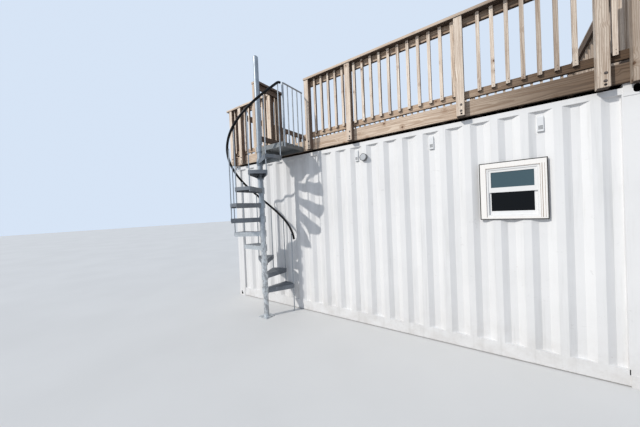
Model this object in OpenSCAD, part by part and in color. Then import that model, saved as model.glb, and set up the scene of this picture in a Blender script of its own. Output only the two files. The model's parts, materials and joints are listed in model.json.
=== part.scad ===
// Cabin made from a 20 foot high cube shipping container, with a railed
// timber roof deck and a galvanised spiral stair up to it.
// X runs along the container and Z is up. The long wall with the window and
// the stair faces -Y. The origin is the middle of the footprint, on the ground.

/* [Container] */
// Length over the corner castings
body_l = 6058; // [5800:2:6400]
// Width over the corner castings
body_w = 2438; // [2300:2:2600]
// Height over the corner castings
body_h = 2896; // [2700:1:3000]
// Corner casting, along the container
casting_l = 178; // [160:1:190]
// Corner casting, across the container
casting_w = 162; // [150:1:175]
// Corner casting height
casting_h = 118; // [105:1:130]
// Wall thickness of a corner casting
casting_t = 16; // [10:1:22]
// Length of the holes in the castings' tops and bottoms
hole_top_l = 124; // [110:1:130]
// Width of the holes in the castings' tops and bottoms
hole_top_w = 63.5; // [55:0.5:70]
// Length of the holes in the castings' sides
hole_side_l = 79.5; // [70:0.5:84]
// Width of the holes in the castings' sides
hole_side_w = 51; // [45:0.5:60]
// Depth of walls and rails behind the castings' faces
inset = 6; // [3:1:10]
// Steel sheet of the walls and roof
sheet_t = 2; // [1.5:0.5:4]
// Folded plate of the posts, rails and sills
plate_t = 6; // [4:1:8]
// Corner post, along the container
post_l = 186; // [150:1:200]
// Corner post, across the container
post_w = 150; // [120:1:170]
// Return flange of a corner post
post_return = 44; // [40:1:60]
// Square tube of the top side rails
top_rail = 60; // [50:1:80]
// Top of those rails below the top of the castings
top_rail_drop = 34; // [6:1:50]
// Bottom side rail height
bottom_rail_h = 158; // [140:1:170]
// Flange of the bottom side rails
bottom_rail_w = 48; // [40:1:60]
// Gap under the bottom frame
frame_clear = 12; // [8:1:16]
// Height of the end headers
header_h = 110; // [100:1:150]
// Depth of the end sills and headers
header_w = 70; // [60:1:90]

/* [Wall corrugation] */
// Distance from one corrugation to the next
pitch = 278; // [240:1:320]
// Depth of the corrugation
wave_d = 36; // [25:1:40]
// Width of a flat at the inner plane
flat_in = 70; // [50:1:80]
// Width of a flat at the outer plane
flat_out = 72; // [50:1:80]
// Distance from one roof rib to the next
roof_pitch = 209; // [160:1:260]
// Height of the roof ribs
roof_rib = 18; // [10:1:24]

/* [Floor] */
// Height of a cross member
member_h = 122; // [100:1:125]
// Width of a cross member
member_w = 45; // [40:1:60]
// Distance between cross members
member_pitch = 300; // [260:1:400]
// Plywood floor thickness
floor_t = 28; // [20:1:32]

/* [Cargo doors] */
// Gap round each door leaf
door_gap = 6; // [4:1:10]
// Door leaf thickness
door_t = 54; // [45:1:60]
// Width of a door leaf's frame members
door_frame = 90; // [70:1:110]
// Diameter of a lock bar
lock_bar_d = 34; // [28:1:40]
// Clear space between a lock bar and its leaf
lock_gap = 12; // [8:1:20]
// Height of the lock handles above the ground
handle_z = 1150; // [900:10:1400]
// Height between the two lock handles of a leaf
handle_step = 110; // [70:1:200]
// Lock bar guides, from the top and the bottom of the doors
guide_in = 300; // [150:10:500]
// Diameter of the hinge pins' barrels
hinge_d = 26; // [20:1:30]
// Length of the hinge pins' barrels
hinge_h = 140; // [100:1:180]
// Distance of the hinge pins' barrels in front of the doors
hinge_off = 8; // [4:1:12]
// Reach of the hinge leaves over the doors
hinge_leaf = 120; // [80:1:160]
// Height of the hinge leaves
hinge_leaf_h = 80; // [60:1:100]
// Thickness of the hinge leaves
hinge_leaf_t = 12; // [8:1:14]
// Length of the lock handles
handle_l = 330; // [250:1:400]
// Hinges on each leaf
hinges = 4; // [3:1:5]

/* [Windows] */
// Middle of each window, from the cargo door end
win_in = 1042; // [930:1:1600]
// Underside of the window frame above the ground
win_z = 1662; // [900:1:1800]
// Width over the white frame
win_w = 492; // [440:1:540]
// Height over the white frame
win_h = 568; // [500:1:700]
// Depth of the white frame through the wall
win_d = 72; // [64:1:90]
// How far the white frame stands out of the wall
win_out = 10; // [4:1:14]
// Face width of the white frame
win_face = 20; // [16:1:24]
// Face width of a sash member
sash_face = 26; // [20:1:32]
// Height of the meeting rail
meet_h = 56; // [40:1:60]
// Height of the lower sash's bottom rail
sash_foot = 44; // [30:1:60]
// Sash thickness
sash_t = 20; // [16:1:22]
// Glass thickness
glass_t = 5; // [4:1:8]
// Trim board width at the sides and top
trim_w = 58; // [40:1:70]
// Trim board height at the bottom
trim_foot = 24; // [18:1:60]
// Trim board thickness
trim_t = 20; // [16:1:26]

/* [Wall fittings] */
// Width of a vent cover
vent_w = 54; // [46:1:70]
// Height of a vent cover
vent_h = 176; // [140:1:220]
// Depth of a vent cover
vent_d = 24; // [15:1:30]
// Wall thickness of a vent cover
vent_t = 3; // [2:0.5:5]
// Top of the vent covers, below the top of the container
vent_drop = 138; // [100:1:300]
// Diameter of the wall lamp
lamp_d = 112; // [80:1:120]
// Length of the wall lamp
lamp_l = 90; // [70:1:130]
// Height of the wall lamp's front edge
lamp_edge = 8; // [4:1:14]
// Wall of the wall lamp's front edge
lamp_wall = 5; // [3:1:8]
// Diameter of the wall lamp's base
lamp_base_d = 66; // [50:1:80]
// Height of the wall lamp's base
lamp_base_h = 26; // [20:1:30]
// Distance from the wall to the wall lamp's back
lamp_back = 20; // [14:1:24]
// Middle of the wall lamp's base, below the top of the container
lamp_drop = 313; // [250:1:600]
// Distance of the wall lamp to the right of its base
lamp_side = 46; // [0:1:60]
// Turn of the wall lamp towards the closed end, in degrees
lamp_turn = 12.5; // [0:0.5:30]
// Upward tilt of the wall lamp, in degrees
lamp_tilt = 5; // [0:0.5:20]

/* [Roof deck] */
// Rim joist height
rim_h = 184; // [184:1:235]
// Rim joist overhang past the long walls' castings
rim_out = 30; // [10:1:60]
// Rim joist distance inside the ends of the container
rim_end = 79; // [40:1:120]
// Thickness of joists, rails, caps and boards
lumber_t = 38; // [32:1:45]
// Deck joist height
joist_h = 140; // [89:1:150]
// Distance between deck joists
joist_pitch = 406; // [300:1:610]
// Deck board width
board_w = 140; // [90:1:190]
// Gap between deck boards
board_gap = 5; // [3:1:8]

/* [Railing] */
// Post and wide rail size
post_t = 89; // [80:1:100]
// Baluster size
bal_t = 38; // [32:1:42]
// Distance between balusters
bal_pitch = 136; // [110:1:150]
// Width of the cap board
cap_w = 140; // [130:1:184]
// Top of the cap board above the rim joists' underside
rail_h = 1226; // [1150:1:1300]
// Height of a flat rail
rail_t = 89; // [70:1:100]
// Gap between the rim joist and the lower rail
rail_gap = 34; // [20:1:50]
// Balusters stop this far above the lower rail's underside
bal_foot = 42; // [5:1:60]
// Cap board overhang past the posts
cap_out = 11; // [5:1:20]
// Corner posts' distance from the ends of the container
post_in_1 = 97; // [80:1:150]
// Second posts' distance from the left end
post_in_2 = 392; // [340:1:500]
// Second posts' distance from the right end
post_in_3 = 326; // [280:1:500]
// First post right of the stair, from the landing's edge
gap_post_in = 173; // [130:1:300]
// First bay right of the stair
bay_1 = 803; // [600:1:900]
// Second bay right of the stair
bay_2 = 1525; // [1200:1:1600]
// Shift of the front balusters from the middle of their bays
bal_shift = 11; // [0:1:12]
// Balusters left out of the third bay right of the stair
bal_less = 1; // [0:1:3]
// Baluster of the last bay, from the middle of the post before it
bal_last = 91; // [70:1:110]
// How far the long sides' posts reach down past the rim joists
post_drop = 30; // [0:1:60]
// Longest bay of the back railing
bay_back = 1525; // [1200:1:1800]
// Outer posts of the end railings, from the long rim joists' inner faces
end_post_in = 91; // [60:1:200]

/* [Spiral stair] */
// Stair centre, from the closed end
stair_in = 1475; // [1350:1:1650]
// Stair centre, out from the long wall's castings
stair_y = 565.5; // [562:0.5:640]
// Radius of the treads
tread_r = 530; // [440:1:535]
// Radius to the middle of the handrail
hand_r = 535.5; // [450:0.5:540]
// Height of the surface that the lowest riser is measured from
stair_base = 242; // [0:1:300]
// How much less the last riser is than the others
last_less = 26; // [0:1:60]
// Number of treads below the landing
treads = 10; // [9:1:11]
// Turn from one tread to the next
tread_turn = 29.9; // [28:0.1:31]
// Direction of the last baluster
last_rod = 358; // [355:0.5:359]
// Half angle of a tread
tread_half = 15.9; // [14:0.1:17]
// Depth of a tread's folded sides
tread_d = 76; // [50:1:88]
// Depth of a tread's folded outer edge
nose_d = 56; // [35:1:76]
// Steel plate of the treads and landing
tread_t = 4; // [3:1:6]
// Half width of a tread at the hub
tread_neck = 44; // [35:1:50]
// Pole diameter
pole_d = 88.9; // [76.1:0.1:101.6]
// Wall of the pole
pole_t = 5; // [3:0.5:8]
// Top of the pole above the landing
pole_over = 1574; // [1200:1:1700]
// Height of the domed cap on the pole
pole_cap_h = 24; // [12:1:30]
// Hub diameter
hub_d = 114.3; // [110:0.1:127]
// Hub height
hub_h = 110; // [80:1:160]
// Base plate size
base_s = 200; // [160:1:260]
// Base plate thickness
base_t = 12; // [8:1:20]
// Baluster diameter
rod_d = 18; // [12:1:24]
// Handrail diameter
hand_d = 40; // [32:1:50]
// Height of the handrail's middle above the treads
hand_h = 1069; // [900:1:1100]
// How far the handrail runs on below its first baluster, in degrees
hand_on = 12; // [4:1:14]
// How far the handrail runs on past its last baluster, in degrees
hand_past = 4; // [1.5:0.5:4]
// Length of the bend that levels the handrail's upper end, in degrees
hand_bend = 8; // [4:0.5:16]

/* [Landing] */
// Height of the landing above the top of the container
landing_h = 78; // [40:1:140]
// Width of the landing from the pole's centre to its guard
landing_w = 564; // [545:1:580]
// Depth of the landing's edge
landing_d = 76; // [60:1:90]
// Diameter of the landing guard's first upright
newel_d = 34; // [26:1:40]
// Diameter of the landing guard's top bar
guard_bar_d = 25; // [20:1:30]
// Diameter of the landing guard's other uprights
guard_rod_d = 22; // [14:1:24]
// Number of those uprights
guard_rods = 4; // [3:1:6]
// How far those uprights reach down the landing's edge
guard_foot = 26; // [15:1:60]
// Height of the landing guard
landing_guard_h = 959; // [900:1:1070]
// Reach of the gusset on the pole
gusset_w = 130; // [100:1:200]
// Depth of the gusset on the pole
gusset_h = 120; // [80:1:124]
// Gap between the timber guard and the pole
guard_gap = 1; // [0.5:0.5:10]
// Front of the timber guard's outer post, behind the pole's centre
guard_post_in = 11; // [-22:1:40]
// Clearance of the roof deck round the timber guard's inner post
guard_clear = 3; // [1:1:10]
// Overhang of the timber guard's cap
guard_cap_out = 7; // [3:1:15]

/* [Hidden] */
$fn = 48;

// Clearance of parts that are set into one another
fit = 0.3;

paint = "ghostwhite";
timber = "burlywood";
galvanised = "slategray";
rail_black = "black";
vinyl = "white";

// Outer planes of the container's walls, and the ends of the sheets
face_y = body_w / 2 - inset;
face_x = body_l / 2 - inset;
wall_x = body_l / 2 - post_l;
wall_y = body_w / 2 - post_w;
header_top = body_h - inset;
rail_top = body_h - top_rail_drop;
wall_z0 = bottom_rail_h + frame_clear;
wall_z1 = rail_top - top_rail;
wall_slope = (pitch - flat_in - flat_out) / 2;
floor_z = frame_clear + 10 + member_h;
door_z0 = casting_h + 40;
door_z1 = body_h - header_h - inset;
door_w = wall_y - 1.5 * door_gap;

// Windows and stair, from the middle of the container
win_x = body_l / 2 - win_in;
stair_x = stair_in - body_l / 2;

// Inner flats with a vent cover, every fourth one, and the outer flat with the lamp
vent_flats = [for (i = [0 : 2]) 4 * i + 2];
lamp_flat = 9;

// Roof deck and railing
rim_y = body_w / 2 + rim_out;
rim_x = body_l / 2 - rim_end;
rim_len = body_l / 2 - post_in_1 + post_t / 2;
board_z = body_h + joist_h;
cap_z = body_h + rail_h - lumber_t;
low_rail_z = body_h + rim_h + rail_gap;
gap_left = stair_x - pole_d / 2 - guard_gap - post_t;
gap_right = stair_x + landing_w;
post_y = rim_y + post_t / 2;
front_x_left = [-body_l / 2 + post_in_1, -body_l / 2 + post_in_2, gap_left - 3 - post_t / 2];
gap_post = gap_right + gap_post_in;
front_x_right = [gap_post, gap_post + bay_1, gap_post + bay_1 + bay_2,
    body_l / 2 - post_in_3, body_l / 2 - post_in_1];
back_span = body_l - 2 * post_in_1;
back_bays = ceil(back_span / bay_back);
back_x = [for (i = [0 : back_bays]) -back_span / 2 + i * back_span / back_bays];
inner_y = rim_y - lumber_t;
end_y = [-inner_y + end_post_in, 0, inner_y - end_post_in];
rail_low = cap_z - rail_t;

// Outer planes of the cargo doors and of the bars in front of them
door_x = body_l / 2 - lock_gap - lock_bar_d - 12;
bar_x = door_x + lock_gap + lock_bar_d / 2;

// Stair heights and angles
land_z = body_h + landing_h;
riser = (land_z + last_less - stair_base) / (treads + 1);
pole_top = land_z + pole_over;
stair_cy = -body_w / 2 - stair_y;
hub_bore = pole_d + 2 * fit;
rod_r = tread_r - rod_d / 2 - tread_t - 2;
rise_per_degree = riser / tread_turn;
first_rod = last_rod - treads * tread_turn;
tread_first = first_rod + tread_turn / 2;
hand_end = last_rod + hand_past;
guard_x = stair_x - pole_d / 2 - guard_gap;

// The origin is the middle of the whole footprint
front_reach = -stair_cy + hand_r + hand_d / 2;
back_reach = rim_y + post_t + cap_out;
frame_y = (front_reach - back_reach) / 2;

module place() {
    translate([0, frame_y, 0]) children();
}

// A box between two corners
module block(lo, hi) {
    translate(lo) cube(hi - lo);
}

// Children, and their mirror image behind the X axis
module both_sides() {
    children();
    mirror([0, 1, 0]) children();
}

// Children, and their mirror image at the other end
module both_ends() {
    children();
    mirror([1, 0, 0]) children();
}

// A slot with round ends, along Y, cut through along Z
module slot(length, width, depth) {
    block([-width / 2, -(length - width) / 2, 0], [width / 2, (length - width) / 2, depth]);
    for (s = [-1, 1])
        translate([0, s * (length - width) / 2, 0]) cylinder(d = width, h = depth);
}

// Points of a sheet: the profile, and back along it one thickness further in
function sheet(points, t) = concat(points,
    [for (i = [len(points) - 1 : -1 : 0]) points[i] + [0, t]]);

// Side wall profile from the cargo door end, drawn towards -X
side_periods = floor((2 * wall_x - flat_in) / pitch);
side_profile = concat(
    [for (i = [0 : side_periods - 1])
        for (p = [[0, wave_d], [flat_in, wave_d], [flat_in + wall_slope, 0],
            [flat_in + wall_slope + flat_out, 0]])
            [i * pitch + p[0], p[1]]],
    [[side_periods * pitch, wave_d], [2 * wall_x, wave_d]]);

// End wall profile, with the spare length shared between both sides
end_periods = floor((2 * wall_y - flat_in) / pitch);
end_lead = (2 * wall_y - flat_in - end_periods * pitch) / 2;
end_profile = concat([[0, wave_d]],
    [for (i = [0 : end_periods - 1])
        for (p = [[flat_in, wave_d], [flat_in + wall_slope, 0],
            [flat_in + wall_slope + flat_out, 0], [pitch, wave_d]])
            [end_lead + i * pitch + p[0], p[1]]],
    [[2 * wall_y, wave_d]]);

// One long wall at the -Y side, with its window hole
module side_wall() {
    difference() {
        translate([wall_x, -face_y, wall_z0]) mirror([1, 0, 0])
            linear_extrude(wall_z1 - wall_z0) polygon(sheet(side_profile, sheet_t));
        translate([win_x - win_w / 2, -face_y - 10, win_z])
            cube([win_w, wave_d + 40, win_h]);
    }
}

module front_wall() {
    color(paint) place() side_wall();
}

module back_wall() {
    color(paint) place() mirror([0, 1, 0]) side_wall();
}

module end_wall() {
    color(paint) place()
        translate([-face_x, -wall_y, door_z0]) rotate([0, 0, 90])
            linear_extrude(door_z1 - door_z0) polygon(
                [for (p = sheet(end_profile, sheet_t)) [p[0], -p[1]]]);
}

// One corner casting: a hollow box with an oval hole in three of its faces
module casting() {
    cavity = [casting_l - 2 * casting_t, casting_w - 2 * casting_t, casting_h - 2 * casting_t];
    difference() {
        cube([casting_l, casting_w, casting_h]);
        translate([casting_t, casting_t, casting_t]) cube(cavity);
        translate([casting_l / 2, casting_w / 2, -1]) rotate([0, 0, 90])
            slot(hole_top_l, hole_top_w, casting_t + 2);
        translate([casting_l / 2, -1, casting_h / 2]) rotate([-90, 0, 0])
            slot(hole_side_l, hole_side_w, casting_t + 2);
        translate([-1, casting_w / 2, casting_h / 2]) rotate([90, 0, 90])
            slot(hole_side_l, hole_side_w, casting_t + 2);
    }
}

module corner_castings() {
    color(paint) place() both_sides() both_ends()
        translate([-body_l / 2, -body_w / 2, 0]) {
            casting();
            translate([0, 0, body_h]) mirror([0, 0, 1]) casting();
        }
}

// Folded corner post at the -X, -Y corner
module post_profile() {
    w = post_w - inset;
    l = post_l - inset;
    difference() {
        square([l, w]);
        translate([plate_t, plate_t]) square([l - 2 * plate_t, w - 2 * plate_t]);
        translate([post_return, post_return]) square([l, w]);
    }
}

// The post is longer than the casting on it, so a piece fills the corner above
module corner_posts() {
    top = body_h - casting_h;
    color(paint) place() both_sides() both_ends() {
        translate([-face_x, -face_y, casting_h])
            linear_extrude(top - casting_h) post_profile();
        if (post_l > casting_l && wall_z1 > top)
            translate([-body_l / 2 + casting_l, -face_y, top - 5])
                cube([post_l - casting_l, post_return, wall_z1 - top + 5]);
    }
}

module bottom_side_rails() {
    color(paint) place() both_sides()
        translate([-body_l / 2 + casting_l, -face_y, frame_clear])
            rotate([90, 0, 90]) linear_extrude(body_l - 2 * casting_l)
                difference() {
                    square([bottom_rail_w, bottom_rail_h]);
                    translate([plate_t, plate_t])
                        square([bottom_rail_w, bottom_rail_h - 2 * plate_t]);
                }
}

module top_side_rails() {
    color(paint) place() both_sides()
        translate([-body_l / 2 + casting_l, -face_y, wall_z1])
            rotate([90, 0, 90]) linear_extrude(body_l - 2 * casting_l)
                difference() {
                    square(top_rail);
                    translate([4, 4]) square(top_rail - 8);
                }
}

// Hollow beam across the -X end, between the castings
module end_beam(z, h) {
    translate([-face_x, body_w / 2 - casting_w, z]) rotate([90, 0, 0])
        linear_extrude(body_w - 2 * casting_w) difference() {
            square([header_w, h]);
            translate([plate_t, plate_t]) square([header_w - 2 * plate_t, h - 2 * plate_t]);
        }
}

// Children at the closed end, and again set back behind the doors' plane
module beam_ends() {
    children();
    mirror([1, 0, 0]) translate([face_x - door_x, 0, 0]) children();
}

module end_sills() {
    color(paint) place() beam_ends() end_beam(frame_clear, door_z0 - frame_clear);
}

module end_headers() {
    color(paint) place() beam_ends() end_beam(door_z1, header_top - door_z1);
}

// Cross members between the bottom side rails
members = floor((body_l - 2 * header_w - 2 * casting_l) / member_pitch);
module cross_members() {
    half = face_y - plate_t;
    color("dimgray") place()
        for (i = [0 : members])
            translate([-members * member_pitch / 2 + i * member_pitch - member_w / 2, half,
                floor_z - member_h])
                rotate([90, 0, 0]) linear_extrude(2 * half) difference() {
                    square([member_w, member_h]);
                    translate([plate_t, plate_t]) square([member_w, member_h - 2 * plate_t]);
                }
}

module floor_panel() {
    y = face_y - bottom_rail_w;
    color("peru") place()
        block([-face_x + header_w, -y, floor_z], [door_x - header_w, y, floor_z + floor_t]);
}

// Roof sheet with ribs across it, between the top rails and headers
module roof_panel() {
    y = face_y - top_rail;
    x0 = -face_x + header_w;
    l = door_x - header_w - x0;
    n = floor(l / roof_pitch);
    lead = (l - n * roof_pitch) / 2;
    profile = concat([[0, 0]],
        [for (i = [0 : n - 1])
            for (p = [[0.15, 0], [0.3, roof_rib], [0.7, roof_rib], [0.85, 0]])
                [lead + (i + p[0]) * roof_pitch, p[1]]],
        [[l, 0]]);
    color(paint) place() translate([x0, y, rail_top - roof_rib - sheet_t - 4])
        rotate([90, 0, 0]) linear_extrude(2 * y) polygon(sheet(profile, sheet_t));
}

// Cargo door leaf at the +X end, on the -Y side: a frame round a ribbed panel
module door_leaf() {
    h = door_z1 - door_z0 - 2 * door_gap;
    f = door_frame;
    ribs = 5;
    panel_h = h - 2 * f;
    gap = panel_h / ribs;
    profile = concat([[0, 0]],
        [for (i = [0 : ribs - 1])
            for (p = [[0.3, 0], [0.4, 1], [0.6, 1], [0.7, 0]])
                [(i + p[0]) * gap, p[1] * wave_d]],
        [[panel_h, 0]]);
    translate([door_x - door_t, -wall_y + door_gap, door_z0 + door_gap]) {
        difference() {
            cube([door_t, door_w, h]);
            translate([-1, f, f]) cube([door_t + 2, door_w - 2 * f, panel_h]);
        }
        translate([door_t - sheet_t, f, f]) rotate([0, -90, -90])
            linear_extrude(door_w - 2 * f) polygon(
                [for (p = sheet(profile, sheet_t)) [p[0], -p[1]]]);
    }
}

module door_leaf_front() {
    color(paint) place() door_leaf();
}

module door_leaf_back() {
    color(paint) place() mirror([0, 1, 0]) door_leaf();
}

// One lock bar with its cams, guides and a handle at height z_handle
module lock_bar(z_handle) {
    z0 = door_z0 - 40;
    z1 = door_z1 + 40;
    translate([bar_x, 0, z0]) cylinder(d = lock_bar_d, h = z1 - z0);
    for (z = [z0 + 5, z1 - 35])
        block([door_x, -35, z], [bar_x, 35, z + 30]);
    for (z = [door_z0 + guide_in, (door_z0 + door_z1) / 2, door_z1 - guide_in])
        block([door_x, -30, z], [bar_x + 8, 30, z + 50]);
    block([bar_x, 0, z_handle], [bar_x + 10, handle_l, z_handle + 34]);
    block([door_x, handle_l - 40, z_handle - 12], [bar_x, handle_l, z_handle + 46]);
}

module lock_bars() {
    color("lightgray") place() both_sides() for (f = [0.28, 0.74])
        translate([0, -door_gap / 2 - door_w * f, 0])
            mirror([0, f > 0.5 ? 0 : 1, 0]) lock_bar(handle_z + (f > 0.5 ? handle_step : 0));
}

module door_hinges() {
    span = door_z1 - door_z0;
    color(paint) place() both_sides() for (i = [0 : hinges - 1])
        translate([door_x, -wall_y, door_z0 + span * (i + 0.5) / hinges]) {
            translate([hinge_d / 2 + hinge_off, hinge_d / 2, -hinge_h / 2])
                cylinder(d = hinge_d, h = hinge_h);
            block([hinge_d / 2, 0, -hinge_leaf_h / 2],
                [hinge_d / 2 + 2 * hinge_off, hinge_d / 2, hinge_leaf_h / 2]);
            block([0, hinge_d / 2, -hinge_leaf_h / 2], [hinge_leaf_t, hinge_leaf, hinge_leaf_h / 2]);
        }
}

// Timber trim round a window, standing on the wall's outer plane
module window_trim() {
    x0 = win_x - win_w / 2;
    z0 = win_z;
    difference() {
        block([x0 - trim_w, -face_y - trim_t, z0 - trim_foot],
            [x0 + win_w + trim_w, -face_y, z0 + win_h + trim_w]);
        block([x0, -face_y - trim_t - 1, z0], [x0 + win_w, -face_y + 1, z0 + win_h]);
    }
}

module window_trims() {
    color("antiquewhite") place() both_sides() window_trim();
}

// White frame through the wall
module window_frame() {
    x = win_w / 2 - fit;
    y = -face_y - win_out;
    difference() {
        block([win_x - x, y, win_z + fit], [win_x + x, y + win_d, win_z + win_h - fit]);
        block([win_x - x + win_face, y - 1, win_z + fit + win_face],
            [win_x + x - win_face, y + win_d + 1, win_z + win_h - fit - win_face]);
    }
}

module window_frames() {
    color(vinyl) place() both_sides() window_frame();
}

// A sash from z0 to z1, its outer face at y, with its lower member of height foot
sash_x = win_w / 2 - win_face - 2 * fit;
sash_z0 = win_z + win_face + 2 * fit;
sash_z1 = win_z + win_h - win_face - 2 * fit;
sash_mid = win_z + win_h * 0.55;
upper_y = -face_y - win_out + 8;
lower_y = upper_y + sash_t + 1;
module sash(y, z0, z1, foot, top) {
    difference() {
        block([win_x - sash_x, y, z0], [win_x + sash_x, y + sash_t, z1]);
        block([win_x - sash_x + sash_face, y - 1, z0 + foot],
            [win_x + sash_x - sash_face, y + sash_t + 1, z1 - top]);
    }
}

module window_sashes() {
    color(vinyl) place() both_sides() {
        sash(upper_y, sash_mid - meet_h / 2, sash_z1, meet_h, sash_face);
        sash(lower_y, sash_z0, sash_mid + meet_h / 2, sash_foot, meet_h);
    }
}

// The glass of one sash
module pane(y, z0, z1) {
    x = sash_x - sash_face - fit;
    block([win_x - x, y + (sash_t - glass_t) / 2, z0 + fit],
        [win_x + x, y + (sash_t + glass_t) / 2, z1 - fit]);
}

module window_panes() {
    color("darkslategray", 0.5) place() both_sides() {
        pane(upper_y, sash_mid + meet_h / 2, sash_z1 - sash_face);
        pane(lower_y, sash_z0 + sash_foot, sash_mid - meet_h / 2);
    }
}

// Middle of the inner flat number i, counted from the cargo door end
function flat_mid(i) = wall_x - i * pitch - flat_in / 2;

// Vent cover on an inner flat: a hood with an open, slotted foot
module vent(x) {
    h = vent_h;
    translate([x - vent_w / 2, -face_y + wave_d, body_h - vent_drop - h]) difference() {
        rotate([90, 0, 90]) linear_extrude(vent_w)
            polygon([[0, 0], [-vent_d, 0], [-vent_d, h - vent_d], [0, h]]);
        block([vent_t, -vent_d + vent_t, -1], [vent_w - vent_t, -vent_t, h - 2 * vent_d]);
    }
}

module wall_vents() {
    color(vinyl) place() for (i = vent_flats) vent(flat_mid(i));
}

// Round lamp on a base on an outer flat, its front edge standing round the lens
module wall_lamp() {
    x = wall_x - lamp_flat * pitch - flat_in - wall_slope - flat_out / 2;
    color(vinyl) place() translate([x, -face_y, body_h - lamp_drop]) {
        rotate([90, 0, 0]) cylinder(d = lamp_base_d, h = lamp_base_h);
        translate([lamp_side, -lamp_back, 0]) rotate([0, 0, -lamp_turn])
            rotate([90 - lamp_tilt, 0, 0]) difference() {
                cylinder(d = lamp_d, h = lamp_l);
                translate([0, 0, lamp_l - lamp_edge])
                    cylinder(d = lamp_d - 2 * lamp_wall, h = 2 * lamp_edge);
            }
    }
}

// Ring of joists on the corner castings
module rim_joists_long() {
    color(timber) place() both_sides()
        block([-rim_len, -rim_y, body_h], [rim_len, -rim_y + lumber_t, body_h + rim_h]);
}

module rim_joists_end() {
    color(timber) place() both_ends()
        block([-rim_x, -inner_y, body_h], [-rim_x + lumber_t, inner_y, body_h + rim_h]);
}

// Inner post of the timber guard stands clear of the joists and boards
module guard_notch(z0, z1) {
    block([guard_x - post_t - guard_clear, -rim_y, z0],
        [guard_x + guard_clear, -inner_y + post_t + guard_clear, z1]);
}

module deck_joists() {
    span = 2 * (rim_x - lumber_t);
    n = floor(span / joist_pitch);
    color(timber) place() difference() {
        for (i = [1 : n - 1])
            translate([rim_x - lumber_t - i * joist_pitch - lumber_t / 2, -inner_y, body_h])
                cube([lumber_t, 2 * inner_y, joist_h]);
        guard_notch(body_h - 1, board_z + 1);
    }
}

module deck_boards() {
    x = rim_x - lumber_t;
    step = board_w + board_gap;
    n = floor((2 * inner_y + board_gap) / step);
    color(timber) place() difference() {
        for (i = [0 : n - 1])
            translate([-x, -(n * step - board_gap) / 2 + i * step, board_z])
                cube([2 * x, board_w, lumber_t]);
        guard_notch(board_z - 1, board_z + lumber_t + 1);
    }
}

// Railing posts stand outside the rim joists, under the caps
module front_posts() {
    color(timber) place() for (x = concat(front_x_left, front_x_right))
        block([x - post_t / 2, -rim_y - post_t, body_h - post_drop], [x + post_t / 2, -rim_y, cap_z]);
}

module back_posts() {
    color(timber) place() for (x = back_x)
        block([x - post_t / 2, rim_y, body_h - post_drop], [x + post_t / 2, rim_y + post_t, cap_z]);
}

module end_posts() {
    color(timber) place() both_ends() for (y = end_y)
        block([-rim_x - post_t, y - post_t / 2, body_h], [-rim_x, y + post_t / 2, cap_z]);
}

// Balusters between posts in a row, standing on Y = 0 and reaching to -Y. Each
// bay can have its balusters shifted and some of them left out.
module bay_balusters(posts, shift, less) {
    for (i = [0 : len(posts) - 2]) {
        clear = posts[i + 1] - posts[i] - post_t;
        n = floor((clear - bal_t) / bal_pitch) + 1 - less[i];
        spare = (clear - bal_t - (n - 1) * bal_pitch) / 2;
        mid = (posts[i] + posts[i + 1]) / 2 + max(-spare, min(spare, shift[i]));
        for (k = [0 : n - 1])
            translate([mid + (k - (n - 1) / 2) * bal_pitch - bal_t / 2, -bal_t, low_rail_z + bal_foot])
                cube([bal_t, bal_t, cap_z - low_rail_z - bal_foot]);
    }
}

// Two flat rails from x0 to x1 with their balusters, outer plane on Y = 0
none = [0, 0, 0, 0, 0, 0, 0, 0];
module railing(x0, x1, posts, shift = none, less = none) {
    block([x0, 0, low_rail_z], [x1, lumber_t, low_rail_z + rail_t]);
    block([x0, 0, rail_low], [x1, lumber_t, cap_z]);
    bay_balusters(posts, shift, less);
}

module front_railing_left() {
    color(timber) place() translate([0, -rim_y, 0])
        railing(-rim_len, front_x_left[2] + post_t / 2, front_x_left);
}

module front_railing_right() {
    last_bay = (front_x_right[4] - front_x_right[3]) / 2;
    color(timber) place() translate([0, -rim_y, 0])
        railing(front_x_right[0] - post_t / 2, rim_len, front_x_right,
            [bal_shift, bal_shift, bal_shift, bal_last - last_bay], [0, 0, bal_less, 0]);
}

module back_railing() {
    color(timber) place() mirror([0, 1, 0]) translate([0, -rim_y, 0])
        railing(-rim_len, rim_len, back_x);
}

module end_railing() {
    translate([-rim_x, 0, 0]) rotate([0, 0, -90])
        railing(-inner_y, inner_y, end_y);
}

module end_railing_left() {
    color(timber) place() end_railing();
}

module end_railing_right() {
    color(timber) place() mirror([1, 0, 0]) end_railing();
}

// Cap boards over posts and rails
cap_y = rim_y + post_t + cap_out;
cap_x = rim_x + post_t + cap_out;
module cap_rails_long() {
    color(timber) place() {
        block([-cap_x, -cap_y, cap_z], [front_x_left[2] + post_t / 2, -cap_y + cap_w, cap_z + lumber_t]);
        block([gap_post - post_t / 2 - 5, -cap_y, cap_z], [cap_x, -cap_y + cap_w, cap_z + lumber_t]);
        block([-cap_x, cap_y - cap_w, cap_z], [cap_x, cap_y, cap_z + lumber_t]);
    }
}

module cap_rails_end() {
    color(timber) place() both_ends()
        block([-cap_x, -cap_y + cap_w, cap_z], [-cap_x + cap_w, cap_y - cap_w, cap_z + lumber_t]);
}

// Timber guard from the roof deck out to the pole, one board higher than the caps
guard_z = cap_z + lumber_t;
guard_y0 = stair_cy + guard_post_in;
module guard_posts() {
    color(timber) place() {
        block([guard_x - post_t, guard_y0, land_z - landing_d],
            [guard_x, guard_y0 + post_t, guard_z]);
        block([guard_x - post_t, -inner_y, body_h], [guard_x, -inner_y + post_t, guard_z]);
    }
}

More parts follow.
